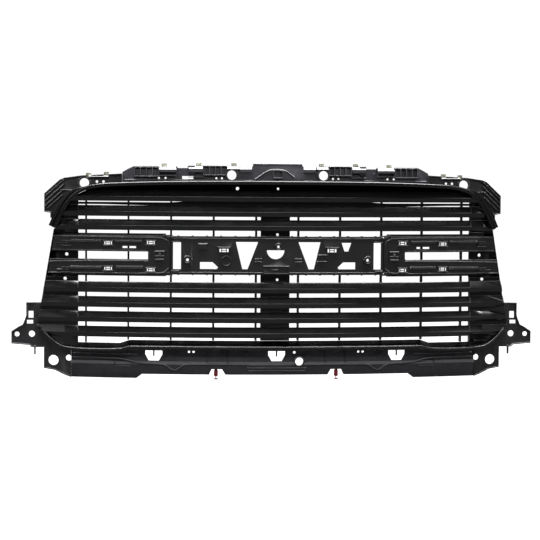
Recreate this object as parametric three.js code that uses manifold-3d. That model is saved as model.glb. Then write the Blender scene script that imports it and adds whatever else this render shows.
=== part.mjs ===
// Front grille of a full-size pickup, as it comes off the truck: a bowed face of moulded louvres with
// carriers for a badge and two trim wings, and the panels and brackets that bolt it to the body.
// Millimetres. X runs across to the viewer's right, Y rearwards, Z up. The design frame has Y = 0 at
// the louvre nose on the centre line; the exported group is shifted so that the origin is the middle
// of the upper centre mounting flange's top face.
import * as THREE from "three";
import { mergeVertices } from "three/addons/utils/BufferGeometryUtils.js";
import Module from "manifold-3d";

const wasm = await Module();
wasm.setup();

// ---- Driving sizes ----
const gap = 0.3; // clearance between pieces that touch
const wall = 3; // moulded wall
const bowDepth = 100; // how far back the face has fallen at bowHalf from the centre line
const bowHalf = 700;
const openingHalf = 611; // half width of the louvred opening
const louvreDepth = 40;
const louvreHeight = 33.5;
const louvreTaper = 3.5; // how much lower the top of a louvre is at its back
const upperLouvres = [227.5, 181.3, 138.7]; // centre heights
const lowerLouvreTop = -52.7;
const lowerLouvreCount = 4;
const louvrePitch = 45.8;
const bladeSlit = 3; // air slits over and under the thin blade in the top gap
const slitsFrom = 290; // the blade fills its gap inside this, from the centre line
const ribPitch = 130.5;
const station = ribPitch; // spacing of the flats that the bow is made of
const ribWidth = 6;
const ribDepth = 20;
const spineX = -6; // the spine stands a little to the left of the centre line
const spineHalf = 44.6;
const carrierTop = 104.5;
const carrierBottom = -13;
const wingRim = 7; // the wing carriers' rear rim stands out by this, above and below
const carrierFront = 8; // set back from the louvre nose
const emblemHalf = 327;
const wingWindowTop = 56.5;
const wingWindowBottom = 32;
const wingWindowInner = 397;
const wingTipInset = 5; // the wing's outer end lies this far inside the grille's side
const sideLean = 0.17; // the grille's side leans out by this per mm downwards
const sideBand = 96.5; // width of the closed side beyond the opening at Z = 0
const sideAtZero = openingHalf + sideBand;
const sideRecess = 12; // how far the closed end of an air gap lies behind the nose
const lipRadius = 6; // half height of the surround's lip
const lipProud = 14; // how far the upper lip stands in front of the nose
const lowerLipRadius = 5;
const lowerLipProud = 10;
const mountPlaneY = louvreDepth + wall + gap; // front of every mounting panel, behind the bowed face
const flangeTop = 328; // upper centre flange
const flangeHalf = 74;
const flangeDepth = 46;
const upperEdge = 321; // top edge of the upper panel beside the flange
const outerEdge = 318.5; // and further out
const upperPanelHalf = openingHalf - 135;
const lowerPanelHalf = openingHalf + 22;
const lowerEdge = -323;
const lowerEdgeOuter = -336;
const locatorRadius = 14.5; // body locating holes in the upper panel and its corner brackets
const earBoltRadius = 9.5;
const notchX = 186.6; // push retainers, from the centre line
const notchHalf = 22;
const notchTop = -306;
const pinTravel = 6;
const pinRadius = 1.5;
const pinClearance = 0.25;
const panelClips = [135, 242, 348]; // spring clips on the upper edge, from the centre line
const clipPlaces = [...panelClips, openingHalf - 86, openingHalf - 31];
const clipWidth = 16;
const clipSheet = 1.2;

// ---- The bow: straight from station to station, so neighbours keep an even gap ----
function bow(x) {
  const cell = Math.floor(Math.abs(x) / station);
  const near = bowDepth * ((cell * station) / bowHalf) ** 2;
  const far = bowDepth * (((cell + 1) * station) / bowHalf) ** 2;
  return near + (far - near) * (Math.abs(x) / station - cell);
}

function stationsBetween(from, to, extra = []) {
  const inside = [...extra];
  for (let x = Math.ceil(from / station) * station; x < to; x += station) inside.push(x);
  const sorted = [from, ...inside.filter((x) => x > from + 0.5 && x < to - 0.5), to];
  return sorted.sort((a, b) => a - b);
}

// Points given outwards from the opening's edge, as [x, z].
function outwards(points) {
  return points.map(([x, z]) => [openingHalf + x, z]);
}

const beyond = openingHalf + 250; // past everything across
const span = [-400, 400]; // past everything in height

// ---- Solids ----
function solid(geometry) {
  const bare = geometry.clone();
  bare.deleteAttribute("normal");
  bare.deleteAttribute("uv");
  const merged = mergeVertices(bare, 1e-3);
  const vertProperties = merged.attributes.position.array;
  const triVerts = new Uint32Array(merged.index.array);
  return new wasm.Manifold(new wasm.Mesh({ numProp: 3, vertProperties, triVerts }));
}

function geometryOf(manifold) {
  const mesh = manifold.getMesh();
  const geometry = new THREE.BufferGeometry();
  geometry.setAttribute("position", new THREE.BufferAttribute(mesh.vertProperties, 3));
  geometry.setIndex(new THREE.BufferAttribute(mesh.triVerts, 1));
  geometry.computeVertexNormals();
  return geometry;
}

function shapeOf(points) {
  return new THREE.Shape(points.map(([a, b]) => new THREE.Vector2(a, b)));
}

// A [y, z] section carried across from station to station along the bow, lifted by rise(x).
function bar(section, xs, rise = () => 0) {
  const steps = xs.length - 1;
  const geometry = new THREE.ExtrudeGeometry(shapeOf(section), {
    depth: steps,
    steps,
    bevelEnabled: false,
  });
  const place = geometry.attributes.position;
  for (let i = 0; i < place.count; i++) {
    const x = xs[Math.round(place.getZ(i))];
    place.setXYZ(i, x, place.getX(i) + bow(x), place.getY(i) + rise(x));
  }
  return solid(geometry);
}

// A bowed sheet between two depths behind the nose.
function sheet(front, back, low, high, from, to) {
  const section = [
    [front, low],
    [back, low],
    [back, high],
    [front, high],
  ];
  return bar(section, stationsBetween(from, to));
}

// A straight prism through the whole depth over an [x, z] outline, or between two absolute depths.
function prism(outline, front = -60, back = 260) {
  const shape = outline instanceof THREE.Shape ? outline : shapeOf(outline);
  const geometry = new THREE.ExtrudeGeometry(shape, {
    depth: back - front,
    bevelEnabled: false,
    curveSegments: 8,
  });
  return solid(geometry.rotateX(Math.PI / 2).translate(0, back, 0));
}

function rectangle(x0, x1, z0, z1) {
  return [
    [x0, z0],
    [x1, z0],
    [x1, z1],
    [x0, z1],
  ];
}

function block(x0, x1, y0, y1, z0, z1) {
  const geometry = new THREE.BoxGeometry(x1 - x0, y1 - y0, z1 - z0);
  return solid(geometry.translate((x0 + x1) / 2, (y0 + y1) / 2, (z0 + z1) / 2));
}

function disc(x, z, radius, sides = 20) {
  const points = [];
  for (let i = 0; i < sides; i++) {
    const turn = (2 * Math.PI * (i + 0.5)) / sides;
    points.push([x + radius * Math.cos(turn), z + radius * Math.sin(turn)]);
  }
  return points;
}

// A disc or pad with flat faces square to Y, from an absolute depth to another.
function puck(x, z, radius, front, back) {
  return prism(disc(x, z, radius), front, back);
}

function mirrored(points) {
  return points.map(([x, z]) => [-x, z]);
}

// The right half of an outline, from the centre line's top to its bottom, closed round the left.
function bothHalves(points) {
  return [...points, ...mirrored(points).reverse()];
}

function joined(solids) {
  return solids.reduce((sum, next) => sum.add(next));
}

function without(body, cuts) {
  return cuts.reduce((rest, cut) => rest.subtract(cut), body);
}

// A line through the points with its corners rounded off.
function roundedLine(points) {
  const path = new THREE.Path();
  path.moveTo(...points[0]);
  for (let i = 1; i < points.length - 2; i++) {
    const [x, z] = points[i];
    const [nextX, nextZ] = points[i + 1];
    path.quadraticCurveTo(x, z, (x + nextX) / 2, (z + nextZ) / 2);
  }
  path.quadraticCurveTo(...points.at(-2), ...points.at(-1));
  return path.getPoints(4).map((p) => [p.x, p.y]);
}

// The line moved to its left by a distance.
function beside(line, distance) {
  return line.map(([x, z], i) => {
    const [x0, z0] = line[Math.max(i - 1, 0)];
    const [x1, z1] = line[Math.min(i + 1, line.length - 1)];
    const length = Math.hypot(x1 - x0, z1 - z0);
    return [x - ((z1 - z0) / length) * distance, z + ((x1 - x0) / length) * distance];
  });
}

function ribbon(line, right, left) {
  return [...beside(line, right), ...beside(line, left).reverse()];
}

// A closed outline drawn in by a distance; the outline runs anticlockwise.
function drawnIn(outline, distance) {
  const count = outline.length;
  const edges = outline.map(([x, z], i) => {
    const [nextX, nextZ] = outline[(i + 1) % count];
    const length = Math.hypot(nextX - x, nextZ - z);
    return { x: (nextX - x) / length, z: (nextZ - z) / length };
  });
  return outline.map(([x, z], i) => {
    const a = edges[(i + count - 1) % count];
    const b = edges[i];
    const reach = distance / (1 + a.x * b.x + a.z * b.z);
    return [x - (a.z + b.z) * reach, z + (a.x + b.x) * reach];
  });
}

// ---- Materials ----
function finish(color, roughness, metalness = 0) {
  return () => new THREE.MeshStandardMaterial({ color, roughness, metalness });
}

const glossBlack = finish("#0b0b0c", 0.25);
const grainedBlack = finish("#2b2b2d", 0.6);
const panelGrey = finish("#2e2e34", 0.55);
const springSteel = finish("#7d7f76", 0.4, 0.9);
const retainerRed = finish("#7a1020", 0.45);

// ---- Shared lines of the face ----
const archTop = 269;
const sillTop = -236.5;
const sillStep = -10; // the sill drops by this towards its ends
const stepFrom = openingHalf - 159;
const stepTo = openingHalf - 129;
const archTail = [
  [-161, 264],
  [-26, 257],
  [29, 218],
  [61, 160],
  [75, 128],
];
const sillTail = [
  [23, sillTop + sillStep],
  [74, -232],
  [115, -186],
];
const archCorners = [[0, archTop], [240, archTop], ...outwards(archTail)];
const sillFlat = [
  [0, sillTop],
  [stepFrom - 12, sillTop],
  [stepFrom, sillTop],
  [stepTo, sillTop + sillStep],
];
const sillCorners = [...sillFlat, ...outwards(sillTail)];
const archLine = acrossBoth(roundedLine(archCorners));
const sillLine = acrossBoth(roundedLine(sillCorners));
const archInner = beside(archLine, -lipRadius - gap);
const sillInner = beside(sillLine, lowerLipRadius + gap);
const aboveArch = closedRound(archInner, 80, span[1]);
const belowSill = closedRound(sillInner, -150, span[0]);

function acrossBoth(half) {
  return [...mirrored(half.slice(1)).reverse(), ...half];
}

// The region on one side of a line right across: from its ends' height to the far height.
function closedRound(line, near, far) {
  return [...line, [beyond, near], [beyond, far], [-beyond, far], [-beyond, near]];
}

function sideAt(z) {
  return sideAtZero - sideLean * z;
}

const lowerLouvres = [];
for (let i = 0; i < lowerLouvreCount; i++) lowerLouvres.push(lowerLouvreTop - i * louvrePitch);
const louvreRows = [...upperLouvres, ...lowerLouvres];
const creaseDrop = 3; // the nose lies this far under the louvre's middle
const browBack = 10; // set-back of the louvre's upper front edge
const chinBack = 4; // and of its lower front edge

const halfLouvre = louvreHeight / 2;

// ---- Louvres ----
// A channel open to the rear: sloped brow, nose crease, short chin.
function louvreSection(z) {
  const low = z - halfLouvre;
  const high = z + halfLouvre;
  return [
    [0, z - creaseDrop],
    [chinBack, low],
    [louvreDepth, low],
    [louvreDepth, low + wall],
    [chinBack + wall, low + wall],
    [wall, z - creaseDrop],
    [browBack + wall, high - wall],
    [louvreDepth, high - louvreTaper - wall],
    [louvreDepth, high - louvreTaper],
    [browBack, high],
  ];
}

function louvre(z) {
  const reach = openingHalf - gap;
  const whole = bar(louvreSection(z), stationsBetween(-reach, reach));
  return z === upperLouvres[0] ? whole.subtract(prism(aboveArch)) : whole;
}

// A thin blade between the upper two louvres; its slits close towards the middle.
function topBlade() {
  const low = upperLouvres[1] + halfLouvre + gap;
  const high = upperLouvres[0] - halfLouvre - gap;
  const top = high - bladeSlit;
  const front = louvreDepth / 2;
  const reach = openingHalf - gap;
  const section = [
    [front, low],
    [front + wall, low],
    [front + wall, top - wall],
    [louvreDepth, top - wall],
    [louvreDepth, top],
    [front + wall, top],
    [front + wall, high],
    [front, high],
  ];
  const outline = bothHalves([
    [slitsFrom, high],
    [slitsFrom + 40, top],
    [reach, top],
    [reach, low + bladeSlit],
    [slitsFrom + 240, low + bladeSlit],
    [slitsFrom + 90, low],
  ]);
  return bar(section, stationsBetween(-reach, reach)).intersect(prism(outline));
}

// ---- Ribs and spine, behind the louvres ----
const ribFront = louvreDepth + gap;
const highestRib = 258;
const ribHold = 8; // how far a rib runs behind a carrier's flange
const shelfRise = 19; // back of the sill shelf above the lip line

function sillDrop(x) {
  const along = (Math.abs(x) - stepFrom) / (stepTo - stepFrom);
  return sillStep * Math.min(Math.max(along, 0), 1);
}

function ribBottom(x) {
  return sillTop + shelfRise + sillDrop(x - ribWidth / 2) + gap;
}

function heightOn(line, x) {
  const i = line.findIndex((p) => p[0] > x);
  const [x0, z0] = line[i - 1];
  const [x1, z1] = line[i];
  return z0 + ((z1 - z0) * (x - x0)) / (x1 - x0);
}

function ribTop(x) {
  return Math.min(highestRib, heightOn(archInner, x + ribWidth / 2) - gap);
}

function rib(x, low, high) {
  return sheet(ribFront, ribFront + ribDepth, low, high, x - ribWidth / 2, x + ribWidth / 2);
}

function spine(low, high, holes) {
  const back = ribFront + wall;
  const left = spineX - spineHalf;
  const right = spineX + spineHalf;
  const plate = sheet(ribFront, back, low, high, left, right);
  const flanges = [left, right - wall].map((x) =>
    sheet(back - gap, ribFront + ribDepth, low, high, x, x + wall),
  );
  const cuts = holes.map((z) => puck(0, z, 4, -60, 120));
  return without(joined([plate, ...flanges]), cuts);
}

// ---- Surround ----
const recessBack = 28; // depth of the dark band under the upper lip
const seeThrough = 251; // height of the gauge holes in that band
function surroundUpper() {
  const lip = sheet(-lipProud, wall, 100, 300, -beyond, beyond);
  const lipShape = prism(ribbon(archLine, -lipRadius, lipRadius));
  const skirt = sheet(0, louvreDepth + wall, 100, 300, -beyond, beyond);
  const skirtShape = prism(ribbon(archLine, -lipRadius, -lipRadius + wall));
  const under = closedRound(beside(archLine, -lipRadius + 1), 90, 85);
  const bandLow = upperLouvres[0] + halfLouvre + gap;
  const band = sheet(recessBack, recessBack + wall, bandLow, 300, -openingHalf, openingHalf);
  const holes = [puck(0, seeThrough, 4, -60, 120), puck(-125, seeThrough, 5, -60, 120)];
  const body = joined([
    lip.intersect(lipShape),
    skirt.intersect(skirtShape),
    band.intersect(prism(under)),
  ]);
  return without(body, holes);
}

function surroundLower() {
  const lip = sheet(-lowerLipProud, 10, -300, -150, -beyond, beyond);
  const lipShape = prism(ribbon(sillLine, -lowerLipRadius, lowerLipRadius));
  const shelf = [
    [0, sillTop],
    [0, sillTop - wall],
    [louvreDepth + wall, sillTop + shelfRise - wall],
    [louvreDepth + wall, sillTop + shelfRise],
  ];
  const kinks = [-stepTo, -stepFrom, stepFrom, stepTo];
  const reach = openingHalf - gap;
  const body = lip.intersect(lipShape);
  return body.add(bar(shelf, stationsBetween(-reach, reach, kinks), sillDrop));
}

// ---- Side panels: closed ends of the louvres, one wall that steps in at every air gap ----
const sideHalf = 262; // more than the height between the lips, which cut the panel off
const carrierRoomHigh = carrierTop + wingRim + 3;
const carrierRoomLow = carrierBottom - wingRim - 3;
function sidePanelSection() {
  const front = [];
  const back = [];
  const deep = louvreDepth + gap;
  const put = (y, z, inset) => {
    front.push([y, z]);
    back.push([y + wall, z + inset]);
  };
  put(sideRecess, sideHalf, 0);
  for (const z of louvreRows) {
    if (z === lowerLouvres[0]) {
      put(sideRecess, carrierRoomHigh, wall);
      put(deep, carrierRoomHigh, wall);
      put(deep, carrierRoomLow, -wall);
      put(sideRecess, carrierRoomLow, -wall);
    }
    put(sideRecess, z + halfLouvre, -wall);
    put(browBack - 1, z + halfLouvre, -wall);
    put(0, z - creaseDrop, 0);
    put(chinBack, z - halfLouvre, wall);
    put(sideRecess, z - halfLouvre, wall);
  }
  put(sideRecess, -sideHalf, 0);
  return [...front, ...back.reverse()];
}

const sideReturn = 30; // how far the side's outer wall runs back
function sideStrip(inner) {
  return [
    [inner(-sideHalf), -sideHalf],
    [sideAt(-sideHalf), -sideHalf],
    [sideAt(sideHalf), sideHalf],
    [inner(sideHalf), sideHalf],
  ];
}

function sidePanel() {
  const xs = stationsBetween(openingHalf, beyond);
  const face = bar(sidePanelSection(), xs).intersect(prism(sideStrip(() => openingHalf)));
  const rim = prism(sideStrip((z) => sideAt(z) - wall));
  const full = [-sideHalf, sideHalf];
  const room = [carrierRoomLow, carrierRoomHigh];
  const outer = sheet(sideRecess, sideReturn, ...full, openingHalf, beyond).intersect(rim);
  const bridge = sheet(sideRecess, ribFront + wall, ...room, openingHalf + wall, beyond).intersect(rim);
  const inner = sheet(sideRecess, louvreDepth, ...full, openingHalf, openingHalf + wall);
  const carrierRoom = sheet(-30, ribFront, ...room, openingHalf - 10, sideAt(carrierTop) - wall);
  const gauges = outwards([[36, 45], [40, -29]]).map(([x, z]) => prism(disc(x, z, 5)));
  const body = joined([face, outer, bridge, inner.subtract(carrierRoom)]);
  return without(body, [prism(aboveArch), prism(belowSill), ...gauges]);
}

// ---- Carriers ----
// A tray: a front wall over an outline with a rim running back to the ribs.
function tray(outline, front) {
  const xs = outline.map((p) => p[0]);
  const zs = outline.map((p) => p[1]);
  const box = [Math.min(...zs) - 5, Math.max(...zs) + 5, Math.min(...xs) - 5, Math.max(...xs) + 5];
  const outer = sheet(front, louvreDepth, ...box).intersect(prism(outline));
  const hollow = sheet(front + wall, louvreDepth + wall, ...box);
  return outer.subtract(hollow.intersect(prism(drawnIn(outline, wall))));
}

// Standing ribs on a tray's face: a lip over each clip window.
function ledge(x0, x1, z, front) {
  return sheet(front - 5, front + 1, z, z + 2, x0, x1);
}

function halfDisc(x, z, radius) {
  const points = [];
  for (let i = 0; i <= 12; i++) {
    const turn = Math.PI + (Math.PI * i) / 12;
    points.push([x + radius * Math.cos(turn), z + radius * Math.sin(turn)]);
  }
  return points;
}

const badgeScrew = { x: 277.4, z: 32.8 }; // boss for the badge's screw
const halfRound = { x: -8, z: 63, radius: 27 }; // half-round window under the middle eyelet
const eyeletZ = 74;
function emblemWindows() {
  const slotHalf = 12;
  const slotX = emblemHalf - wall - slotHalf - 3;
  const right = [
    rectangle(slotX - slotHalf, slotX + slotHalf, 4, 86),
    [
      [94, 5],
      [110, 5],
      [130, 88],
      [62, 88],
    ],
    [
      [188, 5],
      [239, 5],
      [239, 26],
      [201, 26],
      [184, 10],
    ],
    rectangle(152, 180, 57, 67),
    disc(badgeScrew.x, badgeScrew.z, 4.5, 12),
  ];
  const rightOnly = [
    [205, 60],
    [217, 60],
    [226, 86],
    [196, 86],
  ];
  const middle = halfDisc(halfRound.x, halfRound.z, halfRound.radius);
  return [...right, ...right.map(mirrored), rightOnly, middle, disc(0, eyeletZ, 4, 12)];
}

function emblemCarrier() {
  const chamfer = 6;
  const outline = bothHalves([
    [emblemHalf - chamfer, carrierTop],
    [emblemHalf, carrierTop - chamfer],
    [emblemHalf, carrierBottom + chamfer],
    [emblemHalf - chamfer, carrierBottom],
  ]).reverse();
  const body = tray(outline, carrierFront);
  const adds = [];
  const { x, z } = badgeScrew;
  for (const side of [-1, 1]) {
    const places = [146, 187].map((place) => place * side).sort((a, b) => a - b);
    adds.push(ledge(...places, 71, carrierFront));
    adds.push(puck(side * x, z, 10, bow(x) + carrierFront - 6, bow(x) + carrierFront + wall));
  }
  const shelf = sheet(carrierFront - 6, carrierFront + 1, -10, 16, -46, 34);
  const shelfCut = sheet(carrierFront - 8, carrierFront - 2, -7, 13, -43, 31);
  const eyelet = puck(0, eyeletZ, 9, carrierFront - 5, carrierFront + wall);
  const whole = joined([body, ...adds, shelf.subtract(shelfCut), eyelet]);
  return without(whole, emblemWindows().map((w) => prism(w)));
}

const wingInner = emblemHalf + 3;
function wingOutline() {
  const round = 9;
  const tip = (z) => sideAt(z) - wingTipInset;
  return [
    [wingInner + round, carrierBottom],
    [tip(carrierBottom), carrierBottom],
    [tip(wingWindowBottom), wingWindowBottom],
    [wingWindowInner, wingWindowBottom],
    [wingWindowInner, wingWindowTop],
    [tip(wingWindowTop), wingWindowTop],
    [tip(carrierTop), carrierTop],
    [wingInner + round, carrierTop],
    [wingInner, carrierTop - round],
    [wingInner, carrierBottom + round],
  ];
}

const wingClips = [ // middles of the clip windows, from the centre line
  [openingHalf - 92, 82],
  [openingHalf - 92, 4],
  [389, 84.5],
  [389, 1],
];
const clipWindowHalf = [11.5, 4.5];
const wingRails = [ // standing ribs: from, to, height
  [openingHalf - 69, openingHalf + 17, 87],
  [openingHalf - 71, openingHalf + 24, 5],
  [416, 499, 87],
  [413, 495, 7],
];
function wingCarrier() {
  const rimBox = [wingInner + 12, openingHalf + sideBand / 2];
  const rimTo = (low, high) => sheet(louvreDepth - wall, louvreDepth, low, high, ...rimBox);
  const rims = [
    rimTo(carrierTop - 1, carrierTop + wingRim),
    rimTo(carrierBottom - wingRim, carrierBottom + 1),
  ];
  const body = joined([tray(wingOutline(), carrierFront), ...rims]);
  const [halfX, halfZ] = clipWindowHalf;
  const clipWindows = wingClips.map(([x, z]) => rectangle(x - halfX, x + halfX, z - halfZ, z + halfZ));
  clipWindows.push(rectangle(434, 475, 67, 73));
  const adds = wingRails.map(([x0, x1, z]) => ledge(x0, x1, z, carrierFront));
  for (const [x, z] of wingClips) {
    adds.push(ledge(x - halfX - 3, x + halfX + 3, z - halfZ - 4, carrierFront));
  }
  const hookTop = sheet(carrierFront, louvreDepth, carrierTop - 1, carrierTop + wall, 322, 352);
  const hookLow = sheet(carrierFront, louvreDepth, carrierBottom - wall, carrierBottom + 1, 322, 352);
  const clear = emblemHalf - 20;
  const seat = sheet(0, 60, carrierBottom - gap, carrierTop + gap, clear, wingInner);
  const hooks = joined([hookTop, hookLow]).subtract(seat);
  return without(joined([body, ...adds, hooks]), clipWindows.map((w) => prism(w)));
}

// ---- Upper mounting panel and corner brackets ----
const panelBack = mountPlaneY + wall;
const pocketDepth = 14;

// A row of thin fins standing forward between two floors, as in a moulded crush pocket.
function finnedPocket(from, to, low, high, bays) {
  const parts = [];
  const front = mountPlaneY - pocketDepth;
  for (let i = 0; i <= bays; i++) {
    const x = from + ((to - from - 2) * i) / bays;
    parts.push(sheet(front, mountPlaneY + 1, low, high, x, x + 2));
  }
  parts.push(sheet(front, mountPlaneY + 1, low - 2, low, from, to));
  return joined(parts);
}

function locatorPad(x, z) {
  return puck(x, z, locatorRadius + 6, bow(x) + mountPlaneY - 6, bow(x) + panelBack + 3);
}

const locatorUpper = { x: 141.6, z: 292 };
const dipX = [277, 307]; // the upper edge dips between these
const dipZ = 313;
const besideFlange = [flangeHalf + 4, 121]; // and is a little lower beside the centre flange
const besideFlangeZ = 318.5;
const innerPocket = [156, 229];
const outerPocket = [upperPanelHalf - 111, upperPanelHalf - 36];
function upperMountPanel() {
  const low = 263;
  const outline = bothHalves([
    [flangeHalf, flangeTop],
    [besideFlange[0], besideFlangeZ],
    [besideFlange[1], besideFlangeZ],
    [besideFlange[1] + 2, upperEdge],
    [dipX[0] - 2, upperEdge],
    [dipX[0], dipZ],
    [dipX[1], dipZ],
    [dipX[1] + 2, outerEdge],
    [upperPanelHalf - 36, outerEdge],
    [upperPanelHalf - 18, 310],
    [upperPanelHalf, 300],
    [upperPanelHalf, low],
  ]);
  const band = sheet(mountPlaneY, panelBack, low, flangeTop, -beyond, beyond);
  const across = [-flangeHalf, flangeHalf];
  const flange = sheet(mountPlaneY, mountPlaneY + flangeDepth, flangeTop - wall, flangeTop, ...across);
  const fullWidth = [-upperPanelHalf, upperPanelHalf];
  const stiffener = sheet(mountPlaneY, mountPlaneY + 18, low, low + wall, ...fullWidth);
  const parts = [band.intersect(prism(outline)), flange, stiffener];
  const cuts = [];
  for (const side of [-1, 1]) {
    const order = (a, b) => (side > 0 ? [a, b] : [-b, -a]);
    parts.push(finnedPocket(...order(...innerPocket), 293, upperEdge - 1, 4));
    parts.push(finnedPocket(...order(...outerPocket), 288, outerEdge - 3, 4));
    const raised = order(dipX[0] - 22, dipX[0] - 3);
    parts.push(sheet(mountPlaneY - 8, mountPlaneY + 1, 294, upperEdge - 1, ...raised));
    parts.push(locatorPad(side * locatorUpper.x, locatorUpper.z));
    cuts.push(disc(side * locatorUpper.x, locatorUpper.z, locatorRadius));
    for (const x of [171.5, 188.5, 344, 364]) cuts.push(disc(side * x, 282, 3.2, 12));
    parts.push(rearRib(side * 330, low, 300));
    parts.push(rearRib(side * 60, low, flangeTop - 1));
  }
  cuts.push(rectangle(-293, -259, 279, 288));
  const latchBox = sheet(mountPlaneY - 10, mountPlaneY + 1, 282, 308, -16, 16);
  const latchHollow = sheet(mountPlaneY - 12, mountPlaneY - 2, 285, 305, -13, 13);
  parts.push(latchBox.subtract(latchHollow));
  return without(joined(parts), cuts.map((c) => prism(c)));
}

function rearRib(x, low, high) {
  return sheet(panelBack - 1, mountPlaneY + flangeDepth / 2, low, high, x - wall / 2, x + wall / 2);
}

const bracketEdge = [...outwards([[44, 281], [-9, 288.5]]), [upperPanelHalf + gap, 295]];

// Height of the upper edge that a clip at this distance from the centre line sits on.
function upperEdgeAt(x) {
  if (x < upperPanelHalf) return x < dipX[0] ? upperEdge : outerEdge;
  return heightOn([...bracketEdge].reverse(), x);
}

// Room for a spring clip: the panel's edge is cut level there, and nothing stands forward below it.
function clipSeat(x, below = 0) {
  const half = clipWidth / 2 + 1;
  return prism(rectangle(x - half, x + half, upperEdgeAt(x) - 1 - below, upperEdgeAt(x) + 20));
}

const locatorCorner = outwards([[-18.5, 265.3]])[0];
const underLip = closedRound(beside(archLine, lipRadius + gap), 90, 85);
const cornerFinCount = 4;
const cornerFinPitch = 21;
function upperCornerBracket() {
  const inner = upperPanelHalf + gap;
  const lower = [
    [-21, 250],
    [17, 216],
    [49, 160],
    [69, 133],
    [79, 150],
    [87, 158],
    [87, 172],
    [106, 175],
    [106, 232],
    [58, 275],
  ];
  const outline = [[inner, 262], ...outwards(lower), ...bracketEdge];
  const finRegion = [
    [44, 277],
    [61, 271],
    [104, 231],
    [104, 184],
    [79, 184],
    [49, 222],
  ];
  const region = prism(outwards(finRegion));
  const plate = sheet(mountPlaneY, panelBack, 120, 310, inner, beyond).intersect(prism(outline));
  const forwardSheet = sheet(mountPlaneY - 10, mountPlaneY + 1, 120, 310, inner, beyond);
  const rim = forwardSheet.intersect(prism(outline).subtract(prism(drawnIn(outline, wall))));
  const ribs = [];
  for (let i = 0; i < cornerFinCount; i++) {
    const shift = i * cornerFinPitch;
    const line = outwards([[29 + shift / 3, 290 - shift], [129 + shift / 3, 200 - shift]]);
    ribs.push(forwardSheet.intersect(prism(ribbon(line, -1.2, 1.2))).intersect(region));
  }
  const pad = locatorPad(...locatorCorner).intersect(prism(outline));
  const shelf = sheet(mountPlaneY - 8, mountPlaneY + 1, 241, 244, openingHalf + 11, openingHalf + 57);
  const studs = outwards([[-57, 269.5], [-77, 269.5]]).map(([x, z]) => disc(x, z, 4, 12));
  const holes = [disc(...locatorCorner, locatorRadius), ...studs];
  const seats = clipPlaces.slice(panelClips.length);
  const forward = without(joined([rim, ...ribs, pad, shelf]), [
    prism(underLip),
    ...seats.map((x) => clipSeat(x, 16)),
  ]);
  return without(plate.add(forward), [...holes.map((c) => prism(c)), ...seats.map((x) => clipSeat(x))]);
}

// ---- Lower mounting panel and corner brackets ----
const ridgeZ = -292; // fold line along the lower panel
const lowerPanelTop = -229;
const lowerWindowX = 378;
function lowerPanelSection() {
  const front = [
    [mountPlaneY, lowerPanelTop],
    [mountPlaneY, ridgeZ + 8],
    [mountPlaneY - 8, ridgeZ],
    [mountPlaneY - 4, lowerEdgeOuter],
  ];
  const back = front.map(([y, z]) => [y + wall, z]);
  return [...front, ...back.reverse()];
}

function lowerWindows() {
  const window = (x) => [
    [x - 15.5, -281],
    [x + 15.5, -281],
    [x + 26, -262],
    [x + 26, -249],
    [x + 2.5, -249],
    [x + 2.5, -267],
    [x - 2.5, -267],
    [x - 2.5, -249],
    [x - 26, -249],
    [x - 26, -262],
  ];
  return [window(0), window(lowerWindowX), window(-lowerWindowX)];
}

const tabHalf = 11; // the tab that each push retainer goes through
function lowerMountPanel() {
  const outline = bothHalves([
    [lowerPanelHalf, lowerPanelTop],
    [lowerPanelHalf, lowerEdgeOuter],
    [lowerPanelHalf - 201, lowerEdgeOuter],
    [lowerPanelHalf - 219, lowerEdge],
    [notchX + notchHalf, lowerEdge],
    [notchX + notchHalf - 8, notchTop],
    [notchX - notchHalf + 4, notchTop],
    [notchX - notchHalf - 6, lowerEdge],
  ]);
  const reach = lowerPanelHalf + 20;
  const skin = bar(lowerPanelSection(), stationsBetween(-reach, reach)).intersect(prism(outline));
  const parts = [skin];
  const cuts = lowerWindows();
  for (const side of [-1, 1]) {
    const order = (a, b) => (side > 0 ? [a, b] : [-b, -a]);
    const tab = order(notchX - tabHalf, notchX + tabHalf);
    parts.push(sheet(mountPlaneY - 6, panelBack + 18, notchTop, notchTop + wall, ...tab));
    const bead = order(openingHalf - 55, openingHalf + 11);
    parts.push(sheet(mountPlaneY - 5, mountPlaneY + 1, -277, -274, ...bead));
    parts.push(rearRib(side * 300, lowerPanelTop, ridgeZ + 4));
    parts.push(rearRib(side * 520, lowerPanelTop, ridgeZ + 4));
    parts.push(puck(side * notchX, -256, 8, bow(notchX) + mountPlaneY - 4, bow(notchX) + panelBack));
    for (const x of [256, 270]) cuts.push(disc(side * x, -253, 3.5, 12));
  }
  parts.push(puck(70, -282, locatorRadius + 2, mountPlaneY - 7, panelBack + 1));
  cuts.push(disc(70, -282, 12.5));
  cuts.push(disc(55, -254, 4, 12));
  const bores = [-notchX, notchX].map((x) => retainerBore(x));
  return without(joined(parts), [...cuts.map((c) => prism(c)), ...bores]);
}

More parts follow.
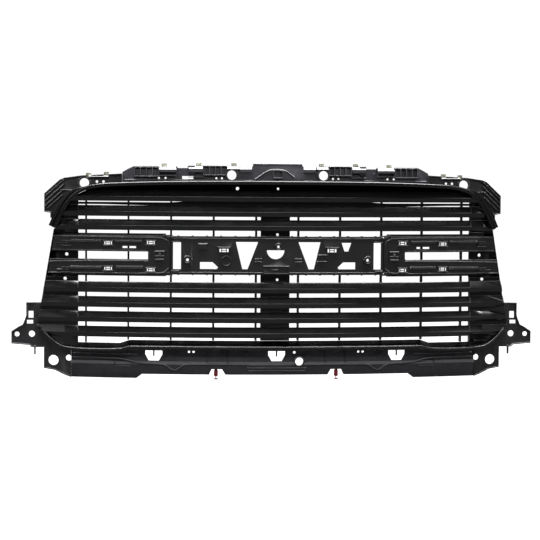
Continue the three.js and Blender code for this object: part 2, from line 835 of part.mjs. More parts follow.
const sideFoot = -180; // the sill cuts the side panel's outer wall off at this height
const earFront = bow(sideAt(sideFoot)) + sideReturn + gap; // the ears are flat, square to Y
const earInner = openingHalf + 89;
function lowerCornerBracket() {
  const inner = lowerPanelHalf + gap;
  const points = [
    [45, -329],
    [73, -316],
    [107, -311],
    [107, -246],
    [144, -246],
    [151, -239],
    [207, -234],
    [207, -196],
    [186, -182],
    [172, -175],
    [165, -158],
    [161, -146],
    [161, -106],
    [87, -106],
    [75, -222],
  ];
  const outline = [[inner, lowerEdgeOuter - 1], ...outwards(points), [inner, -232]];
  const cut = prism(outline);
  const bent = sheet(mountPlaneY, panelBack, ...span, inner, earInner);
  const flat = block(earInner - wall, beyond, earFront, earFront + wall, ...span);
  const bentEnd = bow(earInner) + mountPlaneY;
  const depths = [Math.min(bentEnd, earFront), Math.max(bentEnd, earFront) + wall];
  const joggle = block(earInner - wall, earInner, ...depths, ...span);
  const edge = cut.subtract(prism(drawnIn(outline, wall)));
  const rimFront = sheet(mountPlaneY - 9, mountPlaneY + 1, span[0], -246, inner, openingHalf + 109);
  const earRim = block(openingHalf + 138, beyond, earFront - 7, earFront + 1, ...span);
  const pegX = openingHalf + 132;
  const peg = block(pegX, pegX + 5, earFront - 6, earFront + wall, -268, -241);
  const postX = openingHalf + 97;
  const postRadius = 6;
  const postFront = bow(postX + postRadius) + sideRecess + wall + gap;
  const gaps = [lowerLouvres[1], lowerLouvres[2]].map((z) => z - louvrePitch / 2);
  const posts = gaps.map((z) => puck(postX, z, postRadius, postFront, earFront + 1));
  const holes = [
    [77, -286, 15.5],
    [29, -277.5, 9.2],
    [144, -204, earBoltRadius],
    [189.5, -205, 7.5],
  ];
  const slots = [
    [140, 159, -172, -161],
    [139, 154, -154, -133],
  ];
  const cuts = holes.map(([x, z, radius]) => disc(openingHalf + x, z, radius));
  for (const [x0, x1, ...z] of slots) cuts.push(rectangle(openingHalf + x0, openingHalf + x1, ...z));
  const skin = joined([bent, flat, joggle]).intersect(cut);
  const rims = joined([rimFront, earRim]).intersect(edge);
  return without(joined([skin, rims, peg, ...posts]), cuts.map((c) => prism(c)));
}

// ---- Push retainers: a body in the tab's bore and a centre pin that is pushed up to lock it ----
const retainerTop = notchTop + wall + 9;
const retainerLow = notchTop - 23;
const retainerShank = 4.2;
const gripRoom = 3; // the bumper's edge is clamped between the tab and the retainer's collar
const collarTop = notchTop - gap - gripRoom;
const retainerY = bow(notchX) + mountPlaneY + 8;

function turned(profile, sides = 20) {
  const points = profile.map(([r, z]) => new THREE.Vector2(r, z));
  const geometry = new THREE.LatheGeometry(points, sides);
  return solid(geometry.rotateX(Math.PI / 2));
}

function retainerBore(x) {
  const radius = retainerShank + gap;
  const hole = turned([
    [0, notchTop - 20],
    [radius, notchTop - 20],
    [radius, notchTop + 20],
    [0, notchTop + 20],
  ]);
  return hole.translate(x, retainerY, 0);
}

function retainerBody() {
  const bore = pinRadius + pinClearance;
  return turned([
    [bore, retainerLow],
    [5.4, retainerLow],
    [5.4, retainerLow + 2],
    [6.4, retainerLow + 3],
    [retainerShank + 2, collarTop - 2],
    [retainerShank + 2, collarTop],
    [retainerShank, collarTop],
    [retainerShank, retainerTop - 5],
    [retainerShank - 1.5, retainerTop],
    [bore, retainerTop],
    [bore, retainerLow],
  ]);
}

function retainerPin() {
  const seat = retainerLow - pinTravel - gap;
  return turned([
    [0, seat - 3],
    [6.8, seat - 3],
    [6.8, seat - 1.6],
    [4.6, seat],
    [pinRadius, seat],
    [pinRadius, retainerTop - pinTravel],
    [0, retainerTop - pinTravel],
  ]);
}

// ---- Spring clips: folded sheet over the panel's top edge, with a stub tail standing up ----
function springClip() {
  const inner = wall / 2 + gap;
  const outer = inner + clipSheet;
  const section = [
    [outer + 2, -7.5],
    [outer, -6],
    [outer, gap + clipSheet],
    [1, gap + clipSheet],
    [1, 8],
    [-0.5, 8],
    [-1.5, gap + clipSheet],
    [-outer, gap + clipSheet],
    [-outer, -8],
    [-inner, -8],
    [-inner, gap],
    [inner, gap],
    [inner, -6],
    [inner + 2, -8.5],
  ];
  const across = { depth: clipWidth, bevelEnabled: false };
  const geometry = new THREE.ExtrudeGeometry(shapeOf(section), across);
  geometry.translate(0, 0, -clipWidth / 2);
  return geometry.applyMatrix4(new THREE.Matrix4().set(0, 0, 1, 0, 1, 0, 0, 0, 0, 1, 0, 0, 0, 0, 0, 1));
}

// ---- Assembly ----
const grille = new THREE.Group();
grille.position.set(0, -(mountPlaneY + flangeDepth / 2), -flangeTop);

function place(name, body, material, side = 1) {
  const geometry = body instanceof THREE.BufferGeometry ? body : geometryOf(body);
  const mesh = new THREE.Mesh(geometry, material());
  mesh.name = name;
  mesh.scale.x = side;
  grille.add(mesh);
  return mesh;
}

const sides = [
  ["left", -1],
  ["right", 1],
];

place("surround_upper", surroundUpper(), glossBlack);
place("surround_lower", surroundLower(), glossBlack);
louvreRows.forEach((z, i) => place(`louvre_${i + 1}`, louvre(z), glossBlack));
place("top_blade", topBlade(), glossBlack);
place("spine_upper", spine(carrierTop - ribHold, highestRib, [110, seeThrough]), glossBlack);
place("spine_lower", spine(ribBottom(0), carrierBottom + ribHold, [-29]), glossBlack);
place("emblem_carrier", emblemCarrier(), grainedBlack);
place("upper_mount_panel", upperMountPanel(), panelGrey);
place("lower_mount_panel", lowerMountPanel(), panelGrey);

for (const [name, side] of sides) {
  place(`side_panel_${name}`, sidePanel(), glossBlack, side);
  place(`wing_carrier_${name}`, wingCarrier(), grainedBlack, side);
  place(`upper_corner_bracket_${name}`, upperCornerBracket(), panelGrey, side);
  place(`lower_corner_bracket_${name}`, lowerCornerBracket(), panelGrey, side);
  for (let i = 0; (i + 0.5) * ribPitch < openingHalf - ribWidth; i++) {
    const x = (i + 0.5) * ribPitch;
    const label = `rib_${i + 1}`;
    if (x > wingWindowInner) {
      place(`${label}_${name}`, rib(x, ribBottom(x), ribTop(x)), glossBlack, side);
    } else {
      const upper = rib(x, carrierTop - ribHold, ribTop(x));
      const lower = rib(x, ribBottom(x), carrierBottom + ribHold);
      place(`${label}_upper_${name}`, upper, glossBlack, side);
      place(`${label}_lower_${name}`, lower, glossBlack, side);
    }
  }
  const body = place(`retainer_body_${name}`, retainerBody(), retainerRed);
  const pin = place(`retainer_pin_${name}`, retainerPin(), retainerRed);
  for (const mesh of [body, pin]) mesh.position.set(side * notchX, retainerY, 0);
  clipPlaces.forEach((x, i) => {
    const clip = place(`spring_clip_${i + 1}_${name}`, springClip(), springSteel);
    const edge = upperEdgeAt(x) - (x < upperPanelHalf ? 0 : 1);
    clip.position.set(side * x, bow(x) + mountPlaneY + wall / 2, edge);
    clip.rotation.z = side * Math.atan2(bow(x + 1) - bow(x - 1), 2);
  });
}

export default grille;
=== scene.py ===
# Looks for the pickup grille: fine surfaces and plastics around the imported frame.
# Metres, +Z up, the front faces -Y.
from math import radians, pi

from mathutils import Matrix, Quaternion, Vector

import bpy
import bmesh
import numpy as np


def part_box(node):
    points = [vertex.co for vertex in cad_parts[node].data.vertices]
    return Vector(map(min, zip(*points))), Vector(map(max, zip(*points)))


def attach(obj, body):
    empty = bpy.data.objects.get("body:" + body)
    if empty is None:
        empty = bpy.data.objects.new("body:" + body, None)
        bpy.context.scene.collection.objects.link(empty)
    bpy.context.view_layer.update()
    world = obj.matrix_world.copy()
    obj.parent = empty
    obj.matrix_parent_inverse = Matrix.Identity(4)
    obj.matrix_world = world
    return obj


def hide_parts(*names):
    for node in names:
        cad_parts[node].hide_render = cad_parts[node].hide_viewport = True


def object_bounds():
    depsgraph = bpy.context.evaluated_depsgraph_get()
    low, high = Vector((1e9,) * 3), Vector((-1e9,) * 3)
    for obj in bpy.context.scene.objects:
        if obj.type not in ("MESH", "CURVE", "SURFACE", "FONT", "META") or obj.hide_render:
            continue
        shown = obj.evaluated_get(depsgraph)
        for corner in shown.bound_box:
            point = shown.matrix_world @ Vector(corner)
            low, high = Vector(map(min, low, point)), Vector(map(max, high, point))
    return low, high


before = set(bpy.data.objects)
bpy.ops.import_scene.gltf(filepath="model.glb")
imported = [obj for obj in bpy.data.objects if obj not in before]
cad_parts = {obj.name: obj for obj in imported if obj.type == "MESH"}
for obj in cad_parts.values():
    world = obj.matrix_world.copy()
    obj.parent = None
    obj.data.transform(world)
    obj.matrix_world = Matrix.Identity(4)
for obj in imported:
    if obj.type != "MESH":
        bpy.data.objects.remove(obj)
cadLow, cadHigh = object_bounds()
rootBody = "grille"
sides = {"left": -1, "right": 1}
print("frame loaded:", len(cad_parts), "nodes")

# The face is bowed: it falls back by `fall` at `half` from the centre line. The moulded panels are
# made of `flats` straight stretches of length `flat` on each side.
bow = {"fall": 0.100, "half": 0.700, "flat": 0.1305, "flats": 8}
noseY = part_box("louvre_4")[0].y
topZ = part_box("upper_mount_panel")[1].z
flatStops = np.arange(bow["flats"] + 1) * bow["flat"]


def smoothBow(x):
    # a parabola about the centre line
    return bow["fall"] * (np.asarray(x) / bow["half"]) ** 2


def flatBow(x):
    # the same parabola as straight stretches, as the panels are
    return np.interp(np.abs(x), flatStops, smoothBow(flatStops))


# ---------- surface tools ----------

# in degrees: sharper creases stay sharp in the shading, and sharper edges get a bevel
creases = {"shaded": 38, "bevelled": 32}
weld = 1e-6


def quadratic(start, corner, end, t):
    # leaves start toward the corner and arrives at end
    return (1 - t) ** 2 * start + 2 * t * (1 - t) * corner + t ** 2 * end


def rounded(points, radii, steps=4):
    # closed [a, b] corners, each cut back by its radius and bridged by a quadratic curve
    points = np.asarray(points, float)
    radii = np.broadcast_to(np.asarray(radii, float), len(points))
    before, after = np.roll(points, 1, 0), np.roll(points, -1, 0)
    t = np.linspace(0, 1, steps + 1)[None, :, None]

    def toward(target):
        way = target - points
        length = np.linalg.norm(way, axis=1, keepdims=True)
        return points + way / length * np.minimum(radii[:, None], 0.45 * length)

    start, end = toward(before)[:, None], toward(after)[:, None]
    return quadratic(start, points[:, None], end, t).reshape(-1, 2)


def roundedPath(corners, steps=10):
    # open [x, z] line: quadratic curves between the middles of its stretches
    corners = np.asarray(corners, float)
    middles = (corners[1:-2] + corners[2:-1]) / 2
    starts = np.vstack([corners[:1], middles])
    ends = np.vstack([middles, corners[-1:]])
    t = np.linspace(0, 1, steps, endpoint=False)[None, :, None]
    curve = quadratic(starts[:, None], corners[1:-1][:, None], ends[:, None], t)
    return np.vstack([curve.reshape(-1, 2), corners[-1:]])


def evenly(line, count):
    # the same line with points at equal distances along it
    along = np.concatenate([[0], np.cumsum(np.linalg.norm(np.diff(line, axis=0), axis=1))])
    at = np.linspace(0, along[-1], count)
    return np.column_stack([np.interp(at, along, line[:, i]) for i in range(2)])


def mirrorLine(half):
    # the right half of a line, from the centre outwards, made whole
    left = half[:0:-1] * [-1, 1]
    return np.vstack([left, half])


def squareTo(line):
    # unit steps to the left of the line, at each of its points
    way = np.gradient(line, axis=0)
    way /= np.linalg.norm(way, axis=1, keepdims=True)
    return np.column_stack([-way[:, 1], way[:, 0]])


def offsetLine(line, distance):
    # moved square to the line, to its left, by one distance or one for each point
    return line + squareTo(line) * np.reshape(distance, (-1, 1))


def tubeFaces(rows, ring, closedRows=False):
    # quads of a grid of `rows` closed rings, and the two end caps
    i, j = np.meshgrid(np.arange(rows if closedRows else rows - 1), np.arange(ring), indexing="ij")
    nextRow, nextRing = (i + 1) % rows, (j + 1) % ring
    quads = np.stack([i * ring + j, i * ring + nextRing, nextRow * ring + nextRing, nextRow * ring + j], -1)
    faces = quads.reshape(-1, 4).tolist()
    if not closedRows:
        faces += [list(range(ring))[::-1], list(range((rows - 1) * ring, rows * ring))]
    return faces


class Shells:
    # collects closed shells, each an array of points and its faces, into one piece
    def __init__(self):
        self.points, self.faces, self.count = [], [], 0

    def add(self, points, faces):
        self.points.append(np.asarray(points, float).reshape(-1, 3))
        self.faces += [[v + self.count for v in face] for face in faces]
        self.count += len(self.points[-1])
        return self

    def across(self, ring, xs, lift=None, bend=smoothBow):
        # a [y, z] ring carried across the grille along the bow; lift adds to its height at each x
        xs = np.asarray(xs, float)
        ring = np.asarray(ring, float)
        rings = np.broadcast_to(ring, (len(xs), *ring.shape[-2:])) if ring.ndim == 2 else ring
        x = np.broadcast_to(xs[:, None], rings.shape[:2])
        z = rings[..., 1] + (0 if lift is None else np.asarray(lift)[:, None])
        y = rings[..., 0] + bend(x)
        return self.add(np.stack([x, y, z], -1), tubeFaces(len(xs), rings.shape[1]))

    def along(self, line, ring, bend=smoothBow):
        # a ring of [offset, y] carried along an [x, z] line in the grille's face
        ring = np.asarray(ring, float)
        flat = line[:, None] + squareTo(line)[:, None] * ring[None, :, :1]
        y = ring[None, :, 1] + bend(flat[..., 0])
        return self.add(np.stack([flat[..., 0], y, flat[..., 1]], -1), tubeFaces(len(line), len(ring)))

    def block(self, x, y, z, bend=flatBow):
        # a box with its depth measured from the bow; x, y and z are (low, high)
        ring = [[y[0], z[0]], [y[1], z[0]], [y[1], z[1]], [y[0], z[1]]]
        return self.across(ring, x, bend=bend)

    def turned(self, x, z, profile, count=32, bend=flatBow):
        # [radius, y] turned about an axis square to the face's width
        profile = np.asarray(profile, float)
        turn = np.arange(count) * 2 * pi / count
        px = x + np.cos(turn)[:, None] * profile[None, :, 0]
        pz = z + np.sin(turn)[:, None] * profile[None, :, 0]
        py = np.broadcast_to(profile[None, :, 1] + bend(x), px.shape)
        return self.add(np.stack([px, py, pz], -1), tubeFaces(count, len(profile), True))

    def piece(self, name, material, slot, nodes=(), bevel=0):
        mesh = bpy.data.meshes.new(name)
        mesh.from_pydata(np.vstack(self.points).tolist(), [], self.faces)
        finishPiece(name, mesh, material, nodes, rootBody, bevel)


def finishPiece(name, mesh, material, nodes, body, bevel):
    # weld, turn outwards, soften the edges, and hang the piece on its body
    shape = bmesh.new()
    shape.from_mesh(mesh)
    bmesh.ops.remove_doubles(shape, verts=shape.verts, dist=weld)
    bmesh.ops.recalc_face_normals(shape, faces=shape.faces)
    shape.to_mesh(mesh)
    shape.free()
    mesh.materials.clear()
    mesh.materials.append(material)
    piece = bpy.data.objects.new(name, mesh)
    bpy.context.scene.collection.objects.link(piece)
    softenEdges(piece, bevel)
    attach(piece, body)
    if nodes:
        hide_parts(*nodes)


def softenEdges(piece, bevel):
    piece.data.shade_smooth()
    piece.data.set_sharp_from_angle(angle=radians(creases["shaded"]))
    if bevel:
        edge = piece.modifiers.new("edges", "BEVEL")
        edge.width = bevel
        edge.segments = 2
        edge.limit_method = "ANGLE"
        edge.angle_limit = radians(creases["bevelled"])
        edge.harden_normals = True


def refined(node, material, bevel):
    # the moulding's own solid with its flats joined up and its edges softened
    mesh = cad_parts[node].data.copy()
    shape = bmesh.new()
    shape.from_mesh(mesh)
    bmesh.ops.remove_doubles(shape, verts=shape.verts, dist=2 * weld)
    bmesh.ops.dissolve_limit(shape, angle_limit=radians(0.6), verts=shape.verts, edges=shape.edges)
    shape.to_mesh(mesh)
    shape.free()
    finishPiece(node + "_moulding", mesh, material, [node], rootBody, bevel)


# ---------- materials ----------

class Signal:
    # a socket that can be used in sums; numbers alone stay in Python
    def __init__(self, tree, socket=None):
        self.tree, self.socket = tree, socket

    def make(self, kind, settings=None, inputs=None, out=0):
        # one node: its settings first, then values or links for its sockets
        node = self.tree.nodes.new("ShaderNode" + kind)
        for key, value in (settings or {}).items():
            setattr(node, key, value)
        for key, value in (inputs or {}).items():
            if isinstance(value, Signal):
                self.tree.links.new(value.socket, node.inputs[key])
            else:
                node.inputs[key].default_value = value
        return Signal(self.tree, node.outputs[out])

    def maths(self, operation, a, b):
        return self.make("Math", {"operation": operation}, {0: a, 1: b})

    def __add__(self, other):
        return self.maths("ADD", self, other)

    def __radd__(self, other):
        return self.maths("ADD", other, self)

    def __sub__(self, other):
        return self.maths("SUBTRACT", self, other)

    def __rsub__(self, other):
        return self.maths("SUBTRACT", other, self)

    def __mul__(self, other):
        return self.maths("MULTIPLY", self, other)

    def within(self, low, high):
        # 0 below low, 1 above high, smooth between
        return self.make("MapRange", {"interpolation_type": "SMOOTHSTEP"},
                         {"Value": self, "From Min": low, "From Max": high}, "Result")

    def mixed(self, colourA, colourB):
        # this signal as the factor between two colours
        return self.make("Mix", {"data_type": "RGBA"}, {0: self, 6: colourA, 7: colourB}, 2)

    def noise(self, scale, detail=2, rough=0.5, vector=None):
        place = vector or self.spot()
        look = {"Vector": place, "Scale": scale, "Detail": detail, "Roughness": rough}
        return self.make("TexNoise", {}, look)

    def spot(self, stretch=(1, 1, 1)):
        # object coordinates, closer together along an axis where stretch is large
        place = self.make("TexCoord", {}, {}, "Object")
        return self.make("Mapping", {}, {"Vector": place, "Scale": stretch})

    def facingUp(self):
        return self.make("SeparateXYZ", {}, {0: self.make("NewGeometry", {}, {}, "Normal")}, 2)

    def paintedEdgeHighlight(self, radius, low, high):
        # mask for a painted highlight: 1 along convex edges that catch light from above, 0 on the flats
        softened = self.make("Bevel", {"samples": 4}, {"Radius": radius}, 0)
        plain = self.make("NewGeometry", {}, {}, "Normal")
        alike = self.make("VectorMath", {"operation": "DOT_PRODUCT"}, {0: softened, 1: plain}, 1)
        upward = self.make("SeparateXYZ", {}, {0: softened}, 2)
        return (1 - alike.within(low, high)) * upward.within(0.1, 0.55)

    def bumped(self, strength, distance, under=None):
        wires = {"Strength": strength, "Distance": distance, "Height": self}
        if under:
            wires["Normal"] = under
        return self.make("Bump", {}, wires)


def newMaterial(name, shader):
    # an empty material with one Principled shader, ready for signals
    material = bpy.data.materials.new(name)
    material.use_nodes = True
    tree = material.node_tree
    tree.nodes.clear()
    start = Signal(tree)
    node = tree.nodes.new("ShaderNodeBsdfPrincipled")
    output = tree.nodes.new("ShaderNodeOutputMaterial")
    tree.links.new(node.outputs[0], output.inputs[0])
    for key, value in shader.items():
        node.inputs[key].default_value = value

    def plug(**signals):
        for key, value in signals.items():
            tree.links.new(value.socket, node.inputs[key.replace("_", " ")])
        return material

    return start, plug


def grey(level, warm=0.0):
    return (level * (1 + warm), level, level * (1 - warm), 1)


# the dust colours light both real dust and a painted highlight on faces that point up; the edge colours
# paint a highlight along top edges
glossFinish = {"base": 0.0014, "dustAndHighlight": 0.006, "rough": 0.19, "swing": 0.08, "edge": 0.10}
grainFinish = {"base": 0.0035, "dustAndHighlight": 0.013, "rough": 0.31, "swing": 0.12, "grain": 2100, "edge": 0.26}
panelFinish = {"rough": 0.42, "swing": 0.18, "grain": 1500,
               "topHighlight": (0.15, 0.15, 0.155, 1), "edge": (0.30, 0.30, 0.31, 1)}


def glossBlack():
    # satin-gloss moulding: long flow marks, faint orange peel, a little settled dust mixed with a painted
    # highlight on what faces up, fine scuffs, and a painted highlight along top edges
    start, plug = newMaterial("glossBlack", {"IOR": 1.5})
    flow = start.noise(9, 3, 0.55, start.spot((1, 3, 7)))
    peel = start.noise(420, 1)
    speck = start.noise(1300, 2).within(0.66, 0.74)
    scuff = start.noise(60, 5, 0.7, start.spot((0.3, 1, 6))).within(0.6, 0.8)
    up = start.facingUp()
    # dust on faces that point up, mixed with a painted highlight there
    dustAndHighlight = up.within(0.1, 0.95) * start.noise(24, 4, 0.6).within(0.35, 0.75)
    colour = (dustAndHighlight * 0.55 + speck * 0.25).mixed(grey(glossFinish["base"]), grey(glossFinish["dustAndHighlight"], 0.03))
    rough = glossFinish["rough"] + flow * glossFinish["swing"] + scuff * 0.08 + dustAndHighlight * 0.12 - 0.05
    # painted highlight: convex top edges turned a lighter grey
    colour = start.paintedEdgeHighlight(0.0022, 0.90, 0.995).mixed(colour, grey(glossFinish["edge"]))
    grain = start.noise(2600, 2).bumped(0.08, 0.0001)
    return plug(Base_Color=colour, Roughness=rough, Normal=peel.bumped(0.06, 0.0006, grain))


def grainedBlack():
    # spark-eroded charcoal: pitted grain, rubbed lighter patches, dust mixed with a painted highlight on
    # what faces up, and a painted highlight along top edges
    start, plug = newMaterial("grainedBlack", {"IOR": 1.48})
    cells = start.make("TexVoronoi", {"feature": "SMOOTH_F1"},
                       {"Vector": start.spot(), "Scale": grainFinish["grain"], "Smoothness": 0.6}, 0)
    fine = start.noise(4200, 2)
    cloud = start.noise(16, 5, 0.62)
    rubbed = start.noise(90, 4, 0.7).within(0.58, 0.72)
    up = start.facingUp()
    # dust on faces that point up, mixed with a painted highlight there
    dustAndHighlight = up.within(0.2, 0.95) * cloud.within(0.3, 0.7)
    tone = cloud * 0.35 + rubbed * 0.2 + dustAndHighlight * 0.4
    colour = tone.mixed(grey(grainFinish["base"]), grey(grainFinish["dustAndHighlight"], 0.03))
    rough = grainFinish["rough"] + cloud * grainFinish["swing"] - rubbed * 0.07
    # painted highlight: convex top edges turned a lighter grey
    colour = start.paintedEdgeHighlight(0.0022, 0.88, 0.99).mixed(colour, grey(grainFinish["edge"]))
    height = cells * 0.7 + fine * 0.3
    return plug(Base_Color=colour, Roughness=rough, Normal=height.bumped(0.35, 0.00022))


def panelGrey(name, dark, light):
    # glass-filled blue-grey black: swirled fill, sprue flow, a fine matt grain, dust mixed with a painted
    # highlight on what faces up, a painted lighter grey on upward faces, and a painted highlight along top
    # edges
    start, plug = newMaterial(name, {"IOR": 1.48})
    warp = start.noise(5, 2, 0.5)
    place = start.make("VectorMath", {"operation": "ADD"}, {0: start.spot((1, 1, 2.5)), 1: warp})
    swirl = start.noise(22, 6, 0.68, place)
    fibre = start.noise(700, 3, 0.7, start.spot((0.25, 1, 1)))
    up = start.facingUp()
    # dust on faces that point up, mixed with a painted highlight there
    dustAndHighlight = up.within(0.2, 0.95) * start.noise(30, 4, 0.6).within(0.35, 0.7)
    tone = swirl.within(0.25, 0.8) * 0.55 + fibre.within(0.5, 0.75) * 0.15 + dustAndHighlight * 0.3
    # painted highlight: faces that point up are turned a lighter grey
    topHighlight = up.within(0.25, 0.75) * (0.75 + swirl * 0.25)
    colour = topHighlight.mixed(tone.mixed(dark, light), panelFinish["topHighlight"])
    rough = panelFinish["rough"] + swirl * panelFinish["swing"] - 0.03
    # painted highlight: convex top edges turned a lighter grey
    colour = start.paintedEdgeHighlight(0.0024, 0.88, 0.99).mixed(colour, panelFinish["edge"])
    height = start.noise(panelFinish["grain"], 2) * 0.6 + fibre * 0.4
    return plug(Base_Color=colour, Roughness=rough, Normal=height.bumped(0.3, 0.0002))


def springSteel():
    # phosphated spring steel: rolled streaks, warm blotches, bright rubbed spots
    start, plug = newMaterial("springSteel", {"Metallic": 0.85})
    streak = start.noise(260, 4, 0.6, start.spot((0.15, 1, 3)))
    blotch = start.noise(70, 4, 0.6)
    colour = blotch.within(0.3, 0.7).mixed((0.10, 0.10, 0.08, 1), (0.19, 0.185, 0.15, 1))
    rough = 0.34 + streak * 0.22
    return plug(Base_Color=colour, Roughness=rough, Normal=streak.bumped(0.15, 0.0002))


def retainerRed():
    # dark red moulded plastic, a touch translucent at thin places, with fine mould texture
    start, plug = newMaterial("retainerRed", {"IOR": 1.5})
    cloud = start.noise(140, 4, 0.6)
    colour = cloud.within(0.3, 0.75).mixed((0.16, 0.004, 0.012, 1), (0.34, 0.012, 0.028, 1))
    rough = 0.34 + cloud * 0.14
    return plug(Base_Color=colour, Roughness=rough, Normal=start.noise(2400, 2).bumped(0.15, 0.0002))


gloss, grain, steel, red = glossBlack(), grainedBlack(), springSteel(), retainerRed()
panel = panelGrey("panelGrey", (0.010, 0.010, 0.014, 1), (0.034, 0.033, 0.042, 1))
bracket = panelGrey("bracketGrey", (0.004, 0.004, 0.005, 1), (0.015, 0.015, 0.018, 1))
print("materials ready")

# ---------- louvres, blade and ribs ----------

louvre = {"depth": 0.040, "wall": 0.003, "brow": 0.010, "chin": 0.004, "crease": 0.003, "taper": 0.0035}
arch = {"corners": [[0, 269], [240, 269], [450, 264], [585, 257], [640, 218], [672, 160], [686, 128]],
        "half": 0.006, "proud": 0.014, "skirt": 0.043, "wall": 0.003, "points": 140}
sill = {"corners": [[0, -236.5], [440, -236.5], [452, -236.5], [482, -246.5], [634, -246.5],
                    [685, -232], [726, -186]],
        "half": 0.005, "proud": 0.010, "back": 0.010, "points": 140,
        "shelfReach": 0.6107, "shelfDeep": 0.043, "shelfRise": 0.019, "shelfWall": 0.003,
        "stepFrom": 0.452, "stepWide": 0.030}
designTop = 0.328  # height of the top flange over the middle that the corners are measured from
sliver = 0.0005  # kept between the lip and what ends under it
seam = 1e-5  # kept between shells and corners that would otherwise fall together


def faceLine(corners, count):
    # corners in mm about the face's middle height, made whole and put in the frame
    half = roundedPath(np.array(corners) / 1000)
    half[:, 1] += topZ - designTop
    return mirrorLine(evenly(half, count))


archLine = faceLine(arch["corners"], arch["points"])
sillLine = faceLine(sill["corners"], sill["points"])
archUnder = offsetLine(archLine, -arch["half"] - sliver)


def louvreRing(low, high):
    # channel open to the rear: brow, nose crease and chin, with moulded radii
    middle, wall = (low + high) / 2, louvre["wall"]
    ring = [[0, middle - louvre["crease"]], [louvre["chin"], low], [louvre["depth"], low],
            [louvre["depth"], low + wall], [louvre["chin"] + wall, low + wall],
            [wall, middle - louvre["crease"]], [louvre["brow"] + wall, high - wall],
            [louvre["depth"], high - louvre["taper"] - wall], [louvre["depth"], high - louvre["taper"]],
            [louvre["brow"], high]]
    radii = [0.0016, 0.0018, 0.0006, 0.0006, 0.001, 0.001, 0.001, 0.0006, 0.0006, 0.0022]
    shape = rounded(ring, radii)
    shape[:, 0] += noseY
    return shape


def makeLouvres():
    names = sorted(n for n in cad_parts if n.startswith("louvre_"))
    for name in names:
        low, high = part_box(name)
        xs = np.linspace(low.x, high.x, 121)
        ring = np.repeat(louvreRing(low.z, high.z)[None], len(xs), 0)
        if name == names[0]:  # the top one is cut off under the arch
            limit = np.interp(xs, archUnder[:, 0], archUnder[:, 1])
            ring[..., 1] = np.minimum(ring[..., 1], limit[:, None])
        Shells().across(ring, xs).piece(name + "_bar", gloss, "gloss_black", [name])


blade = {"slit": 0.003, "topSlit": (0.290, 0.330), "lowSlit": (0.380, 0.530), "sunk": 0.001}


def makeBlade():
    # a thin wall that fills its gap in the middle; slits open over and under it further out
    low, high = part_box("top_blade")
    xs = np.linspace(low.x, high.x, 161)
    front, back, wall = noseY + louvre["depth"] / 2, noseY + louvre["depth"], louvre["wall"]
    foot = low.z - blade["sunk"] + blade["slit"] * np.interp(np.abs(xs), blade["lowSlit"], [0, 1])
    head = high.z + 0.0002 - blade["slit"] * np.interp(np.abs(xs), blade["topSlit"], [0, 1])
    web = np.full_like(xs, high.z - blade["slit"])
    heights = np.stack([foot, foot, web - wall, web - wall, web, web + seam, head, head], 1)
    inner = front + wall
    depths = np.array([front, inner, inner, back, back, inner, inner - seam, front])
    heights[:, 6:] = np.maximum(heights[:, 6:], web[:, None] + 2 * seam)
    rings = np.stack([np.broadcast_to(depths, heights.shape), heights], -1)
    Shells().across(rings, xs).piece("blade_bar", gloss, "gloss_black", ["top_blade"])


rib = {"deep": 0.020, "scallop": 0.0045, "radius": 0.0008, "gap": 0.0003, "row": 0.003}


def makeRibs():
    # a rib is a rounded blade whose back is scalloped once for each louvre pitch
    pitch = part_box("louvre_4")[0].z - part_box("louvre_5")[0].z
    for name in sorted(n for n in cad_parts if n.startswith("rib_")):
        low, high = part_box(name)
        rows = np.linspace(low.z, high.z, int((high.z - low.z) / rib["row"]))
        thick = high.x - low.x
        front = flatBow((low.x + high.x) / 2) + noseY + louvre["depth"] + rib["gap"]
        corners = [[-thick / 2, 0], [thick / 2, 0], [thick / 2, 1], [-thick / 2, 1]]
        cross = rounded(corners, rib["radius"], 3)
        back = rib["deep"] - rib["scallop"] * np.sin(pi * (rows - rows[0]) / pitch) ** 2
        x = (low.x + high.x) / 2 + np.broadcast_to(cross[:, 0], (len(rows), len(cross)))
        lean = (flatBow(high.x) - flatBow(low.x)) / thick
        squash = np.clip(cross[:, 1], 0, 1)
        y = front + lean * (x - x.mean()) + squash[None] * back[:, None]
        z = np.broadcast_to(rows[:, None], x.shape)
        Shells().add(np.stack([x, y, z], -1), tubeFaces(len(rows), len(cross))).piece(
            name + "_blade", gloss, "gloss_black", [name])


makeLouvres()
makeBlade()
makeRibs()
print("louvres, blade and ribs done")

# ---------- surround ----------


cove = {"front": 0.012, "deep": 0.017, "wall": 0.003, "reach": 0.609, "tuck": 0.002, "least": 0.0006,
        "holeZ": 0.251, "holes": [(-0.125, 0.005), (0.0, 0.004)]}


def coveRings(xs, bottom, top):
    # the dark band between lip and first louvre leans back as it comes down
    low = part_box("louvre_1")[1].z - cove["tuck"]
    ceiling = np.interp(xs, archUnder[:, 0], archUnder[:, 1]) + cove["tuck"]
    t = np.linspace(0, 1, 9)[None]
    z = top[:, None] + (bottom - top)[:, None] * t
    fallen = np.clip((ceiling[:, None] - z) / np.maximum(ceiling - low, cove["least"])[:, None], 0, 1)
    y = noseY + cove["front"] + cove["deep"] * fallen ** 0.6
    face = np.stack([y, z], -1)
    return np.concatenate([face, face[:, ::-1] + [cove["wall"], 0]], 1)


